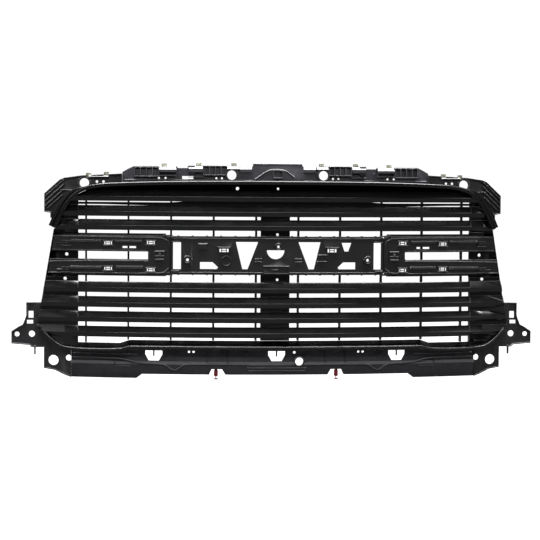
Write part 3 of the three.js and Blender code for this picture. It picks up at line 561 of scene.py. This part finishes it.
def makeCove(shape):
    # whole stretches between the round gauge holes, and a strip over and under each hole
    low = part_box("louvre_1")[1].z - cove["tuck"]
    middle = topZ - designTop + cove["holeZ"]

    def ceiling(xs):
        under = np.interp(xs, archUnder[:, 0], archUnder[:, 1])
        return np.maximum(under + cove["tuck"], low + cove["least"])

    start = -cove["reach"]
    for x, radius in cove["holes"] + [(cove["reach"], 0)]:
        xs = np.linspace(start, x - radius - seam, 60)
        shape.across(coveRings(xs, np.full_like(xs, low), ceiling(xs)), xs)
        start = x + radius + seam
        if radius:
            turn = np.linspace(pi, 0, 17)
            xs = x + radius * np.cos(turn)
            half = np.maximum(radius * np.sin(turn), seam)
            shape.across(coveRings(xs, np.full_like(xs, low), middle - half), xs)
            shape.across(coveRings(xs, middle + half, ceiling(xs)), xs)


def makeSurroundUpper():
    half, proud, wall = arch["half"], arch["proud"], arch["wall"]
    ring = rounded([[half, wall], [half, -proud], [-half, -proud + 0.002], [-half, arch["skirt"]],
                    [-half + wall, arch["skirt"]], [-half + wall, wall]],
                   [0.0008, 0.0055, 0.004, 0.0008, 0.0008, 0.001], 6)
    ring[:, 1] += noseY
    shape = Shells().along(archLine, ring)
    makeCove(shape)
    shape.piece("surround_arch", gloss, "gloss_black", ["surround_upper"])


def makeSurroundLower():
    half, proud, back = sill["half"], sill["proud"], sill["back"]
    ring = rounded([[-half, back], [-half, -proud + 0.003], [half, -proud], [half, back]],
                   [0.001, 0.003, 0.0045, 0.001], 6)
    ring[:, 1] += noseY
    shape = Shells().along(sillLine, ring)
    z = topZ - designTop + sill["corners"][0][1] / 1000
    drop = (sill["corners"][3][1] - sill["corners"][0][1]) / 1000
    xs = np.linspace(-sill["shelfReach"], sill["shelfReach"], 161)
    lift = drop * np.clip((np.abs(xs) - sill["stepFrom"]) / sill["stepWide"], 0, 1)
    deep, top, wall = sill["shelfDeep"], z + sill["shelfRise"], sill["shelfWall"]
    shelf = rounded([[0, z], [0, z - wall], [deep, top - wall], [deep, top]], 0.0008)
    shelf[:, 0] += noseY
    shape.across(shelf, xs, lift)
    shape.piece("surround_sill", gloss, "gloss_black", ["surround_lower"])


cornerBand = {"from": 0.59, "full": 0.625, "hidden": 0.0125}


def makeCornerBands():
    # the lip widens into a second, outer bead as it turns down the corners
    for name, sign in sides.items():
        line = archLine[archLine[:, 0] * sign > cornerBand["from"]]
        ends = [cornerBand["from"], cornerBand["full"]]
        line = offsetLine(line, np.interp(np.abs(line[:, 0]), ends, [-cornerBand["hidden"], 0]))
        ring = rounded([[0.0062, 0.022], [0.0062, 0.002], [0.0175, -0.002], [0.0175, 0.026]],
                       [0.001, 0.003, 0.004, 0.001], 6)
        ring[:, 1] += noseY
        Shells().along(line, ring).piece("corner_band_" + name, gloss, "gloss_black")


makeSurroundUpper()
makeSurroundLower()
makeCornerBands()
print("surround done")

# ---------- mouldings that keep their solids ----------

for node in ["spine_upper", "spine_lower", "side_panel_left", "side_panel_right"]:
    refined(node, gloss, 0.0009)
for node in ["emblem_carrier", "wing_carrier_left", "wing_carrier_right"]:
    refined(node, grain, 0.0009)
for node in ["upper_mount_panel", "lower_mount_panel"]:
    refined(node, panel, 0.0008)
for name in sides:
    for node in ["upper_corner_bracket_" + name, "lower_corner_bracket_" + name]:
        refined(node, bracket, 0.0008)
print("mouldings done")

# ---------- moulded details on the carriers ----------


plate = 8.6  # how far the carriers' face lies behind the nose, in mm
ledge = {"thick": 2.2, "rise": 2.6}


def millimetres(low, high, rise):
    return low / 1000 + rise, high / 1000 + rise


def studs(shape, rows, sign=1):
    # blocks in mm: from, to, bottom, top, front, back; front and back measured from the nose
    for x0, x1, z0, z1, y0, y1 in rows:
        x = sorted([sign * x0 / 1000, sign * x1 / 1000])
        shape.block(x, millimetres(y0, y1, noseY), millimetres(z0, z1, topZ - designTop))


def bars(shape, rows, sign=1, ends=6):
    # half-round bars in mm: from, to, height of the middle, radius, depth of the middle
    for x0, x1, z, radius, y in rows:
        turn = np.linspace(0, 2 * pi, 16, endpoint=False)
        ring = np.column_stack([y + radius * np.cos(turn), z + radius * np.sin(turn)]) / 1000
        ring += [noseY, topZ - designTop]
        xs = np.linspace(*sorted([sign * x0 / 1000, sign * x1 / 1000]), ends)
        shape.across(ring, xs, bend=flatBow)


def wedges(shape, rows, sign=1):
    # blocks whose top slopes up to the back: from, to, bottom, front height, back height, front, back
    base = topZ - designTop
    for x0, x1, z0, z1, z2, y0, y1 in rows:
        ring = np.array([[y0, z0], [y1, z0], [y1, z2], [y0, z1]]) / 1000 + [noseY, base]
        shape.across(ring, sorted([sign * x0 / 1000, sign * x1 / 1000]), bend=flatBow)


def ledges(shape, rows, sign=1, back=plate + 0.1):
    # thin shelves whose tops slope up to the face: from, to, height, how far they stand out
    wedges(shape, [(x0, x1, z - ledge["thick"], z, z + ledge["rise"], back - out, back)
                   for x0, x1, z, out in rows], sign)


def beading(shape, corners, radius, depth, sign=1):
    # a raised line through [x, z] corners in mm, at a depth from the nose
    half = np.array(corners, float) / 1000 * [sign, 1] + [0, topZ - designTop]
    line = evenly(roundedPath(half), 40)
    turn = np.linspace(0, 2 * pi, 8, endpoint=False)
    ring = np.column_stack([np.cos(turn), np.sin(turn)]) * radius / 1000 + [0, noseY + depth / 1000]
    shape.along(line, ring, flatBow)


def collar(shape, x, z, radius, bore, front, back):
    # a ring standing on the face, with a rounded rim
    profile = [[bore, front + 0.8], [bore + 0.8, front], [radius - 1, front], [radius, front + 1],
               [radius + 0.4, back], [bore, back]]
    shape.turned(x / 1000, z / 1000 + topZ - designTop, np.array(profile) / 1000 + [0, noseY])


def windowFrame(x, z, halfX, halfZ):
    # four walls about a clip window
    front, back, thick = 3, plate, 2
    return [(x - halfX - thick, x + halfX + thick, z + halfZ, z + halfZ + thick, front, back),
            (x - halfX - thick, x + halfX + thick, z - halfZ - thick, z - halfZ, front, back),
            (x - halfX - thick, x - halfX, z - halfZ, z + halfZ, front, back),
            (x + halfX, x + halfX + thick, z - halfZ, z + halfZ, front, back)]


def clipBridges(x, z):
    # the two posts of a clip seen in its window
    return [(x - 8.5, x - 6, z - 5, z + 5, 9, 13), (x + 6, x + 8.5, z - 5, z + 5, 9, 13),
            (x - 8.5, x + 8.5, z - 1.2, z + 1.2, 10, 13)]


screw = {"x": 277.4, "z": 32.8}


def makeEmblemDetails():
    shape = Shells()
    bars(shape, [(-318, 318, 98, 2.0, 7.4), (-318, 318, -6.4, 2.0, 7.4)], ends=60)
    studs(shape, [(-245, -217, 63, 84, 4, plate), (-240, -222, 67, 80, 2.4, 4.4)])
    collar(shape, -159, 29, 17, 12, 5.5, plate)
    for sign in (-1, 1):
        ledges(shape, [(51, 72, 37, 5), (51, 72, 28, 5), (150, 182, 71.5, 6),
                       (302, 326, 88, 6), (302, 326, -1, 6)], sign)
        studs(shape, windowFrame(166, 62, 14, 5.2), sign)
        studs(shape, clipBridges(166, 62), sign)
        for step in range(1, 8):
            x = 43.5 * step
            studs(shape, [(x - 2.5, x + 2.5, 103.4, 106.6, 12, 34),
                          (x - 2, x + 2, -15, -12.4, 12, 34)], sign)
        collar(shape, sign * screw["x"], screw["z"], 12.5, 8.5, 0.8, plate)
        for dx, dz in [(-12, 0), (6, 10.5), (6, -10.5)]:
            x, z = screw["x"] + dx, screw["z"] + dz
            studs(shape, [(x - 2.5, x + 2.5, z - 2.5, z + 2.5, 2.5, plate)], sign)
        # knuckles and the strip that close the joint to the wing
        studs(shape, [(327.1, 329.9, -8, 100, 12, 38),
                      (319, 326.5, 95, 103, 3, 14), (319, 326.5, -12, -4, 3, 14)], sign)
    collar(shape, 0, 74, 11, 7.5, 0.5, plate)
    ledges(shape, [(-46, 34, 14, 8), (-245, -217, 82, 6), (-20, -2, 4, 8),
                   (124, 150, 49, 5), (120, 150, 29, 5)])
    shape.piece("emblem_details", grain, "grained_black", bevel=0.0004)


def makeWingDetails(name, sign):
    shape = Shells()
    bars(shape, [(568, 632, 85, 4.2, 7.6), (542, 566, 85, 3.0, 8.0), (418, 498, 85, 4.2, 7.6),
                 (540, 634, 3, 4.2, 7.6), (414, 494, 4.5, 4.2, 7.6)], sign, 12)
    ledges(shape, [(542, 632, 91, 6), (418, 498, 91, 6), (540, 634, 9.5, 6), (414, 494, 11, 6),
                   (374, 404, 91.5, 6), (374, 404, 8, 6), (504, 534, 89, 6), (504, 534, 11, 6),
                   (504, 534, 75, 5), (374, 404, 77, 5), (504, 534, -3, 5), (374, 404, -6, 5)], sign)
    beading(shape, [[690, 101.5], [600, 101], [400, 99.5], [352, 99], [333, 92], [331.5, 60], [331.5, 20],
                    [333, 0], [352, -9], [400, -10], [600, -10.5], [704, -11]], 2.0, 7.2, sign)
    beading(shape, [[700, 23], [600, 26], [460, 27.6], [405, 28], [397, 27]], 2.0, 7.4, sign)
    beading(shape, [[690, 60], [600, 60], [460, 60], [402, 60], [392, 54], [392, 36], [402, 29]],
            1.0, 7.8, sign)
    boss = [(347, 377, 27, 60, 5, plate), (348, 376, 54, 56, 2.5, 5.4), (348, 376, 42, 44, 2.5, 5.4),
            (348, 376, 31, 33, 2.5, 5.4), (347, 349, 27, 60, 2.5, 5.4), (375, 377, 27, 60, 2.5, 5.4)]
    studs(shape, boss, sign)
    ledges(shape, [(347, 377, 58, 7), (349, 375, 44, 6), (349, 375, 34, 6)], sign)
    collar(shape, sign * 362, 48, 4, 1.8, 1.6, 5.2)
    for z in (72, -10):
        studs(shape, [(634, 663, z + 15, z + 17, 2.5, plate), (634, 663, z, z + 2, 2.5, plate),
                      (634, 636, z, z + 17, 2.5, plate), (646, 648, z + 4, z + 13, 3.5, plate)], sign)
        bars(shape, [(640, 676, z + 8.5, 3.2, 8.0)], sign)
    for x, z in [(519, 82), (519, 4), (389, 84.5), (389, 1)]:
        studs(shape, windowFrame(x, z, 11.5, 4.6), sign)
        studs(shape, clipBridges(x, z), sign)
    studs(shape, [(330.2, 340, 96, 104, 3, 14), (330.2, 340, -13, -5, 3, 14)], sign)
    shape.piece("wing_details_" + name, grain, "grained_black", bevel=0.0004)


makeEmblemDetails()
for name, sign in sides.items():
    makeWingDetails(name, sign)
print("carrier details done")

# ---------- moulded details on the mounting panels ----------

mount = 43.3  # how far the panels' face lies behind the nose, in mm
seat = mount + 0.5


def makeUpperDetails():
    shape = Shells()
    beading(shape, [[-70, 279], [-62, 284], [-36, 303], [-18, 309], [0, 309.5],
                    [20, 307.5], [38, 296], [52, 285]], 2.4, mount - 1)
    bars(shape, [(-74, 74, 326.6, 1.2, mount)], ends=12)
    for sign in (-1, 1):
        wedges(shape, [(120, 156, 310, 311, 320, mount - 16, seat),
                       (231, 274, 300, 311, 320, mount - 15, seat),
                       (311, 364, 300, 308, 318, mount - 17, seat),
                       (519, 579, 283, 285.5, 289, mount - 14, seat),
                       (80, 118, 300, 310, 318, mount - 6, seat)], sign)
        studs(shape, [(229, 276, 284, 286, mount - 10, seat), (311, 366, 288, 290, mount - 12, seat),
                      (311, 313, 288, 316, mount - 12, seat), (362, 364, 288, 316, mount - 12, seat),
                      (156, 229, 318.5, 320.5, mount - 14, seat),
                      (365, 440, 314, 316, mount - 14, seat),
                      (372, 374, 266, 287, mount - 5, seat), (300, 302, 266, 300, mount - 5, seat)],
              sign)
        bars(shape, [(80, 470, 276, 1.2, mount)], sign, ends=30)
        collar(shape, sign * 141.6, 292, 18.5, 14.6, mount - 8, mount - 5)
    shape.piece("upper_panel_details", panel, "panel_grey", bevel=0.0005)


def makeLowerDetails():
    shape = Shells()
    bars(shape, [(-560, 560, -249, 1.3, mount)], ends=80)
    ledges(shape, [(-92, 92, -301, 8), (-88, 88, -310, 8)], back=mount - 3)
    collar(shape, -94, -252, 9, 6, mount - 5, seat)
    collar(shape, 70, -282, 16, 12.6, mount - 9, mount)
    for sign in (-1, 1):
        beading(shape, [[92, -292], [270, -292], [290, -294], [300, -304], [310, -311], [324, -310],
                        [334, -300], [346, -292], [420, -290], [440, -286], [470, -277], [500, -275],
                        [628, -275]],
                3.0, mount - 9, sign)
        collar(shape, sign * 319, -254, 11, 8, mount - 4, seat)
        ledges(shape, [(176, 200, -247, 8), (430, 628, -262, 6)], sign, back=seat)
        studs(shape, [(450, 500, -300, -298, mount - 11, mount - 4),
                      (498, 500, -300, -277, mount - 11, mount - 4),
                      (556, 622, -262, -260, mount - 6, seat), (568, 590, -272, -262, mount - 6, seat),
                      (214, 216, -300, -240, mount - 5, seat), (150, 152, -290, -240, mount - 5, seat)],
              sign)
    shape.piece("lower_panel_details", panel, "panel_grey", bevel=0.0005)


makeUpperDetails()
makeLowerDetails()
print("panel details done")

# ---------- clips and retainers ----------

for node in sorted(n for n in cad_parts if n.startswith("spring_clip_")):
    refined(node, steel, 0.0003)
for name in sides:
    for part in ["body", "pin"]:
        node = "retainer_%s_%s" % (part, name)
        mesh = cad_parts[node].data.copy()
        owner = rootBody if part == "body" else node
        finishPiece(node + "_turned", mesh, red, [node], owner, 0.0003)
print("clips and retainers done")

# ---------- stage, light and camera ----------

stage = {"floor": (7.0, 6.0), "under": 0.004, "middle": (0, 0, -0.3), "sky": 0.06}
camera = {"azimuth": -4.85, "elevation": 3.0, "roll": 0.38, "distance": 5.5, "lens": 118.67, "sensor": 36,
          "aim": (-0.0208, -0.006, -0.328)}


def makeFloor():
    x, y = stage["floor"][0] / 2, stage["floor"][1] / 2
    z = cadLow.z - stage["under"]
    mesh = bpy.data.meshes.new("floor")
    mesh.from_pydata([(-x, -y, z), (x, -y, z), (x, y, z), (-x, y, z)], [], [(0, 1, 2, 3)])
    # pale to the eye, but dim to the gloss black above it
    start, plug = newMaterial("paleFloor", {"Roughness": 0.8, "Emission Strength": 1.0})
    seen = start.make("LightPath", {}, {}, "Is Camera Ray")
    tone = seen.mixed(grey(0.04), grey(0.12))
    glow = seen.mixed(grey(0.015), grey(0.93))
    mesh.materials.append(plug(Base_Color=tone, Emission_Color=glow))
    floor = bpy.data.objects.new("floor", mesh)
    bpy.context.scene.collection.objects.link(floor)


def areaLight(name, place, size, power):
    data = bpy.data.lights.new(name, "AREA")
    data.shape = "RECTANGLE"
    data.size, data.size_y = size
    data.energy = power
    lamp = bpy.data.objects.new(name, data)
    bpy.context.scene.collection.objects.link(lamp)
    lamp.location = place
    toMiddle = Vector(stage["middle"]) - Vector(place)
    lamp.rotation_euler = toMiddle.to_track_quat("-Z", "Y").to_euler()


def makeWorld():
    # white to the camera, a dimmer soft sky to everything else
    world = bpy.data.worlds.new("softRoom")
    world.use_nodes = True
    tree = world.node_tree
    tree.nodes.clear()
    start = Signal(tree)
    seen = start.make("LightPath", {}, {}, "Is Camera Ray")
    strength = stage["sky"] + seen
    back = start.make("Background", {}, {"Color": (1, 1, 1, 1), "Strength": strength})
    output = tree.nodes.new("ShaderNodeOutputWorld")
    tree.links.new(back.socket, output.inputs[0])
    bpy.context.scene.world = world


def makeCamera():
    data = bpy.data.cameras.new("camera")
    data.lens = camera["lens"]
    data.sensor_width = camera["sensor"]
    eye = bpy.data.objects.new("camera", data)
    bpy.context.scene.collection.objects.link(eye)
    a, e = radians(camera["azimuth"]), radians(camera["elevation"])
    back = Vector((np.sin(a) * np.cos(e), -np.cos(a) * np.cos(e), np.sin(e)))
    eye.location = Vector(camera["aim"]) + back * camera["distance"]
    level = (-back).to_track_quat("-Z", "Y")
    eye.rotation_euler = (level @ Quaternion((0, 0, 1), radians(camera["roll"]))).to_euler()
    bpy.context.scene.camera = eye


makeFloor()
makeWorld()
areaLight("overhead", (0, -0.2, 2.3), (3.4, 1.1), 620)
areaLight("front", (-0.3, -4.0, 1.7), (4.0, 0.5), 90)
areaLight("sideLeft", (-2.6, -2.2, 0.9), (0.7, 1.4), 14)
areaLight("sideRight", (2.6, -2.2, 0.9), (0.7, 1.4), 12)
areaLight("behind", (0, 2.4, 0.6), (3.0, 0.8), 12)
makeCamera()
bpy.context.scene.view_settings.view_transform = "Standard"

print("scene ready")
